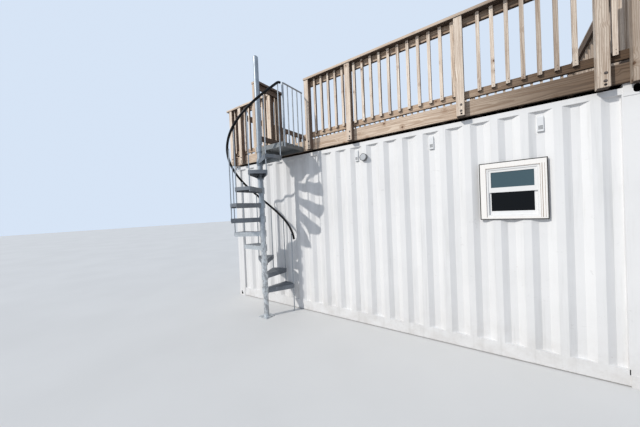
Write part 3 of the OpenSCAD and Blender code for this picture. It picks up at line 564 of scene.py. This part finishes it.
def finish_piece(bm, name, material, slot_name, *replaced):
    """Makes the object, gives it its material and hangs it on the cabin."""
    mesh = bpy.data.meshes.new(name)
    bm.normal_update()
    bm.to_mesh(mesh)
    bm.free()
    obj = bpy.data.objects.new(name, mesh)
    bpy.context.scene.collection.objects.link(obj)
    mesh.materials.append(material)
    for face in mesh.polygons:
        face.use_smooth = False
    if replaced:
        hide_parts(*replaced)
    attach(obj, "root")


def add_box(bm, lo, hi):
    """A box from its lowest to its highest corner."""
    xs, ys, zs = zip(lo, hi)
    verts = [bm.verts.new((x, y, z)) for x in xs for y in ys for z in zs]
    for quad in BOX_QUADS:
        bm.faces.new([verts[i] for i in quad])


def add_disc(bm, centre, axis, radius, height, sides, taper=0.86):
    """A short cylinder from centre along axis, narrower at its far end."""
    turn = Vector((0, 0, 1)).rotation_difference(Vector(axis)).to_matrix().to_4x4()
    middle = Vector(centre) + Vector(axis) * (height / 2)
    bmesh.ops.create_cone(
        bm,
        cap_ends=True,
        segments=sides,
        radius1=radius,
        radius2=radius * taper,
        depth=height,
        matrix=Matrix.Translation(middle) @ turn,
    )


def cleaned(name):
    """A CAD node's mesh with its faces joined up again."""
    bm = bmesh.new()
    bm.from_mesh(nodes[name].data)
    bmesh.ops.remove_doubles(bm, verts=bm.verts, dist=1e-5)
    bmesh.ops.dissolve_limit(bm, angle_limit=math.radians(1), verts=bm.verts, edges=bm.edges)
    return bm


def islands(bm):
    """Lists of vertices that hang together."""
    left = set(bm.verts)
    found = []
    for start in list(bm.verts):
        if start not in left:
            continue
        left.discard(start)
        group = [start]
        todo = [start]
        while todo:
            for edge in todo.pop().link_edges:
                for vert in edge.verts:
                    if vert in left:
                        left.discard(vert)
                        group.append(vert)
                        todo.append(vert)
        found.append(group)
    return found


def box_of(points):
    """The lowest and the highest corner of the box round the points."""
    lo = Vector([min(point[i] for point in points) for i in range(3)])
    hi = Vector([max(point[i] for point in points) for i in range(3)])
    return lo, hi


def solid_boxes(bm):
    """The box of each solid of a mesh. The mesh is freed."""
    boxes = [box_of([vert.co for vert in group]) for group in islands(bm)]
    bm.free()
    return boxes


def recolour(name, material, is_chosen):
    """Gives a material to the faces of a CAD node that is_chosen picks."""
    mesh = nodes[name].data
    mesh.materials.append(material)
    for face in mesh.polygons:
        if is_chosen(face):
            face.material_index = len(mesh.materials) - 1


# Materials in use

paint = paint_material("container_paint_worn", (0.83, 0.827, 0.825), rust=0.75, dirt=0.3)
timber = timber_material("treated_pine")
zinc = galvanised_material("zinc", (0.33, 0.36, 0.39), 0.46)
zinc_pole = galvanised_material("zinc_pole", (0.31, 0.35, 0.39), 0.42, foot=(0.64, 0.67, 0.69))
# The treads' zinc is painted dark, as painted shade
zinc_tread_painted_shade = galvanised_material("zinc_tread_painted_shade", (0.17, 0.185, 0.205), 0.52)
zinc_bolt = galvanised_material("zinc_fixings", (0.12, 0.10, 0.09), 0.6)
# Paler zinc for the sunlit tread edges, as painted sunlight
zinc_painted_sunlit_edges = galvanised_material("zinc_painted_sunlight", (0.50, 0.53, 0.55), 0.5)
# The landing's zinc is painted dark, as painted shade
zinc_landing_painted_shade = galvanised_material("zinc_landing_shade", (0.18, 0.19, 0.195), 0.55)

# Each plain material: name, colour, roughness, mottle, scale of the mottle and relief
# Near black discs on the posts, painted as the shade of blind holes
bolt_hole_painted_shade = plain_material("bolt_hole_painted_shade", (0.012, 0.009, 0.008), 0.8, 0.2, 60, 0.2)
black = plain_material("black_rail", (0.004, 0.004, 0.005), 0.42, 0.2, 40, 0.05, gloss=0.16)
under_steel = plain_material("under_frame", (0.06, 0.06, 0.065), 0.6, 0.3, 25, 0.3)
vinyl = plain_material("vinyl_white", (0.85, 0.845, 0.835), 0.34, 0.03, 30, 0.02)
vent_white = plain_material("vent_white", (0.78, 0.79, 0.80), 0.45, 0.05, 50, 0.05)
lamp_grey = plain_material("lamp_grey", (0.56, 0.57, 0.58), 0.4, 0.08, 120, 0.1, metal=0.3)
# The lamp drum is painted dark grey, as painted shade on its sides
drum_painted_shade = plain_material("lamp_drum_painted_shade", (0.17, 0.17, 0.175), 0.5, 0.12, 120, 0.1, metal=0.3)
# Dark grey for the vent strips, painted as the shade inside the slots
slot_painted_shade = plain_material("vent_slot_shades", (0.16, 0.165, 0.17), 0.7, 0.2, 60, 0.1)
# A dark bead round the window trims
dark_trim_bead = plain_material("dark_trim_bead", (0.060, 0.058, 0.056), 0.7, 0.3, 90, 0.4)
crack_brown = plain_material("old_sealant", (0.30, 0.19, 0.12), 0.7, 0.3, 90, 0.4)
# Near black for the insides of the corner castings, as painted shade
casting_inside_painted_shade = plain_material("casting_inside_painted_shade", (0.012, 0.011, 0.010), 0.9, 0.3, 40, 0.3)
rubber = plain_material("door_rubber", (0.03, 0.03, 0.032), 0.6, 0.2, 60, 0.2)
lamp_face = plain_material("lamp_lens", (0.52, 0.54, 0.56), 0.5, 0.1, 200, 0.1, gloss=0.2)
trim = trim_material("trim_paint")
ply = ply_material("floor_plywood")

# The meeting rail is between the second and the third height of the panes
pane_z = sorted(set(round(vert.co.z, 4) for vert in nodes["window_panes"].data.vertices))
glass = glass_material("window_tint", (pane_z[1] + pane_z[2]) / 2)

slot_materials = {
    "container_paint": paint,
    "frame_steel": under_steel,
    "floor_ply": ply,
    "deck_timber": timber,
    "galvanised_steel": zinc,
    "handrail_black": black,
    "window_trim": trim,
    "window_vinyl": vinyl,
    "vent_plastic": vent_white,
    "window_glass": glass,
    "lamp_grey": lamp_grey,
}
# The treads and the landing get their darker zinc, as painted shade
node_materials = {"stair_pole": zinc_pole, "stair_treads": zinc_tread_painted_shade, "landing_plate": zinc_landing_painted_shade}
for entry in frame["record"]["subparts"]:
    slot_material = slot_materials[entry["material_slot"]]
    for spot in nodes[entry["node"]].material_slots:
        spot.material = node_materials.get(entry["node"], slot_material)

pole_lo, pole_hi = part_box("stair_pole")
pole_x = (pole_lo[0] + pole_hi[0]) / 2
pole_y = (pole_lo[1] + pole_hi[1]) / 2
casting_boxes = solid_boxes(cleaned("corner_castings"))


def is_hub(face):
    """The hubs of the treads and the landing have the pole's zinc."""
    corners = [face.id_data.vertices[i].co for i in face.vertices]
    return all(math.hypot(co.x - pole_x, co.y - pole_y) < HUB_RADIUS for co in corners)


def is_painted_sunlit(face):
    """The long edges of the treads that face the sun, which are painted paler, as painted sunlight."""
    bearing = math.degrees(math.atan2(face.normal.y, face.normal.x)) % 360
    reach = math.hypot(face.center.x - pole_x, face.center.y - pole_y)
    is_upright = abs(face.normal.z) < UPRIGHT_NORMAL_Z
    faces_sun = SUNLIT_BEARINGS[0] < bearing < SUNLIT_BEARINGS[1]
    return is_upright and faces_sun and HUB_RADIUS < reach < TREAD_EDGE_REACH


def is_inside_casting(face):
    """The insides of the corner castings are painted near black, as painted shade."""
    spot = face.center
    return any(
        all(lo[i] + CASTING_SKIN < spot[i] < hi[i] - CASTING_SKIN for i in range(3))
        for lo, hi in casting_boxes
    )


recolour("stair_treads", zinc_pole, is_hub)
recolour("landing_plate", zinc_pole, is_hub)
# Sunlit tread edges get the paler zinc, as painted sunlight
recolour("stair_treads", zinc_painted_sunlit_edges, is_painted_sunlit)
# The insides of the castings get near black, as painted shade
recolour("corner_castings", casting_inside_painted_shade, is_inside_casting)


# Timber


def railing_boxes(name, along, out):
    """The boxes of a railing's rails and those of its balusters, read from its vertices.

    The rails run on axis along, and the balusters stand on the side that out gives, +1 or -1.
    """
    across = 1 - along
    points = [vert.co for vert in nodes[name].data.vertices]
    lo, hi = box_of(points)
    face, back = (hi[across], lo[across]) if out > 0 else (lo[across], hi[across])
    middle = (face + back) / 2

    def box(ends, sides, heights):
        low = [0, 0, heights[0]]
        high = [0, 0, heights[1]]
        low[along], high[along] = ends
        low[across], high[across] = sorted(sides)
        return low, high

    back_points = [point for point in points if abs(point[across] - back) < ON_PLANE]
    levels = sorted(set(round(point.z, 4) for point in back_points))
    back_along = [point[along] for point in back_points]
    rail_ends = (min(back_along), max(back_along))
    rails = [box(rail_ends, (back, middle), pair) for pair in (levels[:2], levels[-2:])]
    front_points = [point for point in points if abs(point[across] - face) < ON_PLANE]
    heights = (min(point.z for point in front_points), max(point.z for point in front_points))
    sides = sorted(set(round(point[along], 4) for point in front_points))
    balusters = [box(pair, (middle, face), heights) for pair in zip(sides[::2], sides[1::2])]
    return rails, balusters


def timber_mesh(name):
    """A timber node's mesh. Front posts end level with the rim joists, but not at the cargo doors."""
    bm = cleaned(name)
    if name == "front_posts":
        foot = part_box("rim_joists_long")[0][2]
        for vert in bm.verts:
            if vert.co.z < foot and vert.co.x < LONG_POSTS_X:
                vert.co.z = foot
    return bm


def add_grain(bm, tones, level_tones):
    """Writes each board's grain coordinates and its tone onto its face corners."""
    grain = bm.loops.layers.float_vector.new("grain")
    tone = bm.loops.layers.float.new("tone")
    for group in islands(bm):
        lo, hi = box_of([vert.co for vert in group])
        size = hi - lo
        axis = max(range(3), key=lambda i: size[i])
        first, second = [i for i in range(3) if i != axis]
        along = rng.uniform(0, GRAIN_SPAN)
        distance = rng.uniform(*PITH_DISTANCE)
        start = Vector((along, distance, rng.uniform(-PITH_SHIFT, PITH_SHIFT)))
        lean = rng.uniform(-PITH_LEAN, PITH_LEAN)
        deep_is_second = rng.random() < 0.5
        if max(size[first], size[second]) > WIDE_BOARD * min(size[first], size[second]):
            deep_is_second = size[second] < size[first]
        deep, aside = (second, first) if deep_is_second else (first, second)
        value = rng.uniform(*(tones if axis == 2 else level_tones))
        for face in {face for vert in group for face in vert.link_faces}:
            for loop in face.loops:
                co = loop.vert.co - (lo + hi) / 2
                depth = start.y + co[deep] + lean * co[axis]
                loop[grain] = (start.x + co[axis], depth, start.z + co[aside])
                loop[tone] = value


def dress_timber(bm, name, tones, level_tones, edge):
    """Timber boards in place of a CAD node, with eased edges and grain."""
    bmesh.ops.bevel(
        bm, geom=list(bm.edges), offset=edge, segments=2, affect="EDGES", clamp_overlap=True
    )
    add_grain(bm, tones, level_tones)
    finish_piece(bm, name + "_boards", timber, "deck_timber", name)


for name, tones in BOARD_TONES.items():
    dress_timber(timber_mesh(name), name, tones, tones, BOARD_EDGE)

railing_parts = {name: railing_boxes(name, *way) for name, way in RAILINGS.items()}
for name, (rails, balusters) in railing_parts.items():
    boards = bmesh.new()
    for lo, hi in rails + balusters:
        add_box(boards, lo, hi)
    dress_timber(boards, name, BALUSTER_TONES, RAIL_TONES, RAILING_EDGE)


# Screws and bolts


def make_baluster_screws():
    """Two screws at the foot and two at the top of each baluster."""
    screws = bmesh.new()
    for name, (along, out) in RAILINGS.items():
        across = 1 - along
        normal = [0, 0, 0]
        normal[across] = out
        _, balusters = railing_parts[name]
        for lo, hi in balusters:
            heights = [lo[2] + height for height in SCREWS_ABOVE_FOOT]
            heights += [hi[2] - height for height in SCREWS_BELOW_TOP]
            for height in heights:
                spot = [0, 0, height]
                spot[across] = hi[across] if out > 0 else lo[across]
                spot[along] = (lo[along] + hi[along]) / 2 + rng.uniform(-SCREW_SCATTER, SCREW_SCATTER)
                add_disc(screws, spot, normal, SCREW_RADIUS, SCREW_HEIGHT, sides=10)
    finish_piece(screws, "baluster_screws", zinc_bolt, "galvanised_steel")


def add_bolt(bm, spot, normal):
    """A washer with a hexagon head on it."""
    add_disc(bm, spot, normal, WASHER_RADIUS, WASHER_HEIGHT, sides=20)
    head = [place + way * WASHER_HEIGHT for place, way in zip(spot, normal)]
    add_disc(bm, head, normal, HEAD_RADIUS, HEAD_HEIGHT, sides=6)


def add_side_post_fixings(bolts, hole_shades, name, out):
    """A near black disc, painted as the shade of a blind hole, and two bolts on the outer face of each
    post of a long side.
    """
    normal = (0, out, 0)
    for lo, hi in solid_boxes(timber_mesh(name)):
        y = hi.y if out > 0 else lo.y
        spots = []
        for height in (POST_HOLE_AT, *POST_BOLTS_AT):
            shift = POST_BOLT_SHIFT + rng.uniform(-POST_BOLT_SCATTER, POST_BOLT_SCATTER)
            spots.append(((lo.x + hi.x) / 2 + shift, y, lo.z + height))
        add_disc(hole_shades, spots[0], normal, HOLE_RADIUS, HOLE_HEIGHT, sides=16, taper=1.0)
        for spot in spots[1:]:
            add_bolt(bolts, spot, normal)


def make_post_bolts():
    """The bolts at the feet of the posts, and near black discs below those of the side posts, painted
    as the shade of blind holes.
    """
    bolts = bmesh.new()
    hole_shades = bmesh.new()
    add_side_post_fixings(bolts, hole_shades, "front_posts", -1)
    add_side_post_fixings(bolts, hole_shades, "back_posts", 1)
    for lo, hi in solid_boxes(timber_mesh("end_posts")):
        out = 1 if lo.x > 0 else -1
        for height in END_BOLTS_AT:
            x = hi.x if out > 0 else lo.x
            add_bolt(bolts, (x, (lo.y + hi.y) / 2 + END_BOLT_SHIFT, lo.z + height), (out, 0, 0))
    finish_piece(bolts, "post_bolts", zinc_bolt, "galvanised_steel")
    finish_piece(hole_shades, "post_bolt_hole_shades", bolt_hole_painted_shade, "galvanised_steel")


make_baluster_screws()
make_post_bolts()


# Windows


def make_window_dark_bead(trim_boxes):
    """A dark bead along the outer edges of each window's trim."""
    beads = bmesh.new()
    for lo, hi in trim_boxes:
        out = -1 if lo.y < 0 else 1
        wall = hi.y if out < 0 else lo.y
        near, far = sorted((wall + out * BEAD_PROUD, wall - out * BEAD_SUNK))
        left = lo.x - BEAD_WIDTH
        right = hi.x + BEAD_WIDTH
        add_box(beads, (left, near, lo.z - BEAD_WIDTH), (right, far, lo.z))
        add_box(beads, (left, near, hi.z), (right, far, hi.z + BEAD_WIDTH))
        add_box(beads, (left, near, lo.z), (lo.x, far, hi.z))
        add_box(beads, (hi.x, near, lo.z), (right, far, hi.z))
    bmesh.ops.bevel(beads, geom=list(beads.edges), offset=BEAD_EDGE, segments=1, affect="EDGES")
    finish_piece(beads, "window_dark_bead", dark_trim_bead, "window_trim")


def make_trim_cracks(trim_boxes):
    """The joints between each trim and its window, and two cracks in the trim's right board."""
    cracks = bmesh.new()
    for lo, hi in trim_boxes:
        out = -1 if lo.y < 0 else 1
        front = lo.y if out < 0 else hi.y
        near, far = sorted((front + out * CRACK_PROUD, front - out * CRACK_SUNK))
        upright = [(hi.x - inset, width) for inset, width in TRIM_CRACKS]
        upright.append((hi.x - SIDE_JOINT_AT, SIDE_JOINT_WIDTH))
        upright.append((lo.x + SIDE_JOINT_AT, SIDE_JOINT_WIDTH))
        for x, width in upright:
            foot = (x - width / 2, near, lo.z + CRACK_ABOVE_FOOT)
            add_box(cracks, foot, (x + width / 2, far, hi.z - CRACK_BELOW_TOP))
        top_lo, top_hi = [hi.z - below_top for below_top in TOP_JOINT_BETWEEN]
        left = lo.x + TOP_JOINT_INSET
        right = hi.x - TOP_JOINT_INSET
        add_box(cracks, (left, near, top_lo), (right, far, top_hi))
    finish_piece(cracks, "trim_cracks", crack_brown, "window_trim")


trims = solid_boxes(cleaned("window_trims"))
make_window_dark_bead(trims)
make_trim_cracks(trims)


# Vents, lamp and doors


def make_vent_slots():
    """Dark grey strips across the lower part of each vent cover, painted as the shade inside its slots.
    """
    slots = bmesh.new()
    for lo, hi in solid_boxes(cleaned("wall_vents")):
        left = lo.x + SLOT_LEFT_INSET
        right = hi.x - SLOT_RIGHT_INSET
        for step in range(SLOT_COUNT):
            z = lo.z + SLOT_FIRST + step * SLOT_PITCH
            add_box(slots, (left, lo.y - SLOT_PROUD, z), (right, lo.y + SLOT_SUNK, z + SLOT_HEIGHT))
    finish_piece(slots, "vent_slot_shades", slot_painted_shade, "vent_plastic")


def make_lamp():
    """A shallow drum in place of the CAD lamp, turned a little to the closed end, and its lens. The
    drum is painted dark grey, as painted shade on its sides.
    """
    wall_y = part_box("wall_lamp")[1][1]
    lamp_points = [vert.co for vert in nodes["wall_lamp"].data.vertices]
    foot_lo, foot_hi = box_of([point for point in lamp_points if point.y > wall_y - ON_PLANE])
    foot = (foot_lo + foot_hi) / 2 + Vector(LAMP_FOOT_SHIFT)
    axis = Vector(LAMP_AXIS).normalized()
    drum = bmesh.new()
    add_disc(drum, foot, axis, LAMP_RADIUS, LAMP_DEPTH, sides=48, taper=1.0)
    front = max(drum.faces, key=lambda face: face.calc_center_median().dot(axis))
    bmesh.ops.inset_region(drum, faces=[front], thickness=LAMP_RIM, depth=0.0)
    bmesh.ops.translate(drum, verts=front.verts, vec=-axis * LAMP_RECESS)
    finish_piece(drum, "lamp_drum_painted_shade", drum_painted_shade, "lamp_grey", "wall_lamp")
    lens = bmesh.new()
    lens_foot = foot + axis * (LAMP_DEPTH - LENS_SEAT)
    lens_radius = LAMP_RADIUS - LAMP_RIM - LENS_GAP
    dome_foot = lens_foot + axis * LENS_THICK
    dome_radius = lens_radius * LENS_DOME_SHARE
    add_disc(lens, lens_foot, axis, lens_radius, LENS_THICK, sides=40, taper=0.97)
    add_disc(lens, dome_foot, axis, dome_radius, LENS_DOME_HEIGHT, sides=40, taper=0.8)
    finish_piece(lens, "lamp_lens", lamp_face, "lamp_grey")


def make_door_gaskets():
    """Black rubber round the cargo doors and between their leaves."""
    gaskets = bmesh.new()
    front_lo, front_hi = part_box("door_leaf_front")
    back_lo, back_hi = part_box("door_leaf_back")
    front_edge = (front_lo[1] - GASKET_WIDTH, front_lo[1])
    back_edge = (back_hi[1], back_hi[1] + GASKET_WIDTH)
    for lo, hi, edge in ((front_lo, front_hi, front_edge), (back_lo, back_hi, back_edge)):
        x0 = hi[0] - GASKET_DEPTH
        x1 = hi[0] + GASKET_PROUD
        y0 = lo[1] - GASKET_WIDTH
        y1 = hi[1] + GASKET_WIDTH
        add_box(gaskets, (x0, y0, lo[2] - GASKET_WIDTH), (x1, y1, lo[2]))
        add_box(gaskets, (x0, y0, hi[2]), (x1, y1, hi[2] + GASKET_WIDTH))
        add_box(gaskets, (x0, edge[0], lo[2]), (x1, edge[1], hi[2]))
    middle_lo = (front_hi[0] - GASKET_DEPTH, front_hi[1], front_lo[2])
    middle_hi = (front_hi[0] + GASKET_PROUD, back_lo[1], front_hi[2])
    add_box(gaskets, middle_lo, middle_hi)
    finish_piece(gaskets, "door_gaskets", rubber, "container_paint")


make_vent_slots()
make_lamp()
make_door_gaskets()


# Stage and camera


def seen_share(tree):
    """1 for rays from the camera and those that gloss or glass passes on, 0 for scattered light."""
    path = node(tree, "LightPath")
    seen = plus(tree, path.outputs["Is Camera Ray"], path.outputs["Is Glossy Ray"])
    return plus(tree, seen, path.outputs["Is Transmission Ray"], clamp=True)


def make_floor():
    """A plain pale floor, which throws light back as darker decking would."""
    mat, tree, bsdf = new_material("studio_floor")
    cloud = band(tree, noise(tree, position(tree), 0.6, detail=3, rough=0.5), 0.3, 0.7)
    tint = mix(tree, cloud, FLOOR_SEEN_PALE, FLOOR_SEEN_DEEP)
    put(bsdf.inputs["Base Color"], mix(tree, seen_share(tree), FLOOR_BOUNCE_COLOUR, tint))
    bsdf.inputs["Roughness"].default_value = 0.85
    bpy.ops.mesh.primitive_plane_add(size=FLOOR_SIZE, location=(0, 0, -FLOOR_DROP))
    floor = bpy.context.object
    floor.name = "studio_floor"
    floor.data.materials.append(mat)
    floor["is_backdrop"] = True


def make_sky():
    """A pale background for the camera, and a bluer, weaker light from it on everything else."""
    world = bpy.data.worlds.new("studio")
    bpy.context.scene.world = world
    world.use_nodes = True
    tree = world.node_tree
    back = tree.nodes["Background"]
    seen = seen_share(tree)
    put(back.inputs["Color"], mix(tree, seen, SKY_LIGHT_COLOUR, SKY_SEEN_COLOUR))
    strength = plus(tree, times(tree, seen, 1 - SKY_LIGHT_STRENGTH), SKY_LIGHT_STRENGTH)
    put(back.inputs["Strength"], strength)


def make_sun():
    sun = bpy.data.lights.new("key", "SUN")
    sun.energy = SUN_STRENGTH
    sun.angle = math.radians(SUN_SPREAD)
    sun.color = SUN_COLOUR
    key = bpy.data.objects.new("key", sun)
    key.rotation_mode = "QUATERNION"
    key.rotation_quaternion = Vector(SUN_RAYS).to_track_quat("-Z", "Y")
    bpy.context.scene.collection.objects.link(key)


def make_camera():
    """The photograph's camera. Yaw turns it round Z from +Y, pitch lifts it and roll tilts it."""
    yaw = math.radians(CAMERA_YAW)
    pitch = math.radians(CAMERA_PITCH)
    roll = math.radians(CAMERA_ROLL)
    level = math.cos(pitch)
    ahead = Vector((math.sin(yaw) * level, math.cos(yaw) * level, math.sin(pitch)))
    side = Vector((math.cos(yaw), -math.sin(yaw), 0))
    up = side.cross(ahead)
    right = side * math.cos(roll) + up * math.sin(roll)
    top = -side * math.sin(roll) + up * math.cos(roll)
    data = bpy.data.cameras.new("photo_view")
    data.sensor_width = CAMERA_SENSOR
    data.lens = CAMERA_LENS
    data.clip_start = 0.05
    data.clip_end = 300
    cam = bpy.data.objects.new("photo_view", data)
    turn = Matrix((right, top, -ahead)).transposed().to_4x4()
    cam.matrix_world = Matrix.Translation(CAMERA_PLACE) @ turn
    bpy.context.scene.collection.objects.link(cam)
    bpy.context.scene.camera = cam


make_floor()
make_sky()
make_sun()
make_camera()
bpy.context.scene.view_settings.view_transform = "Standard"

lo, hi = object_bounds()
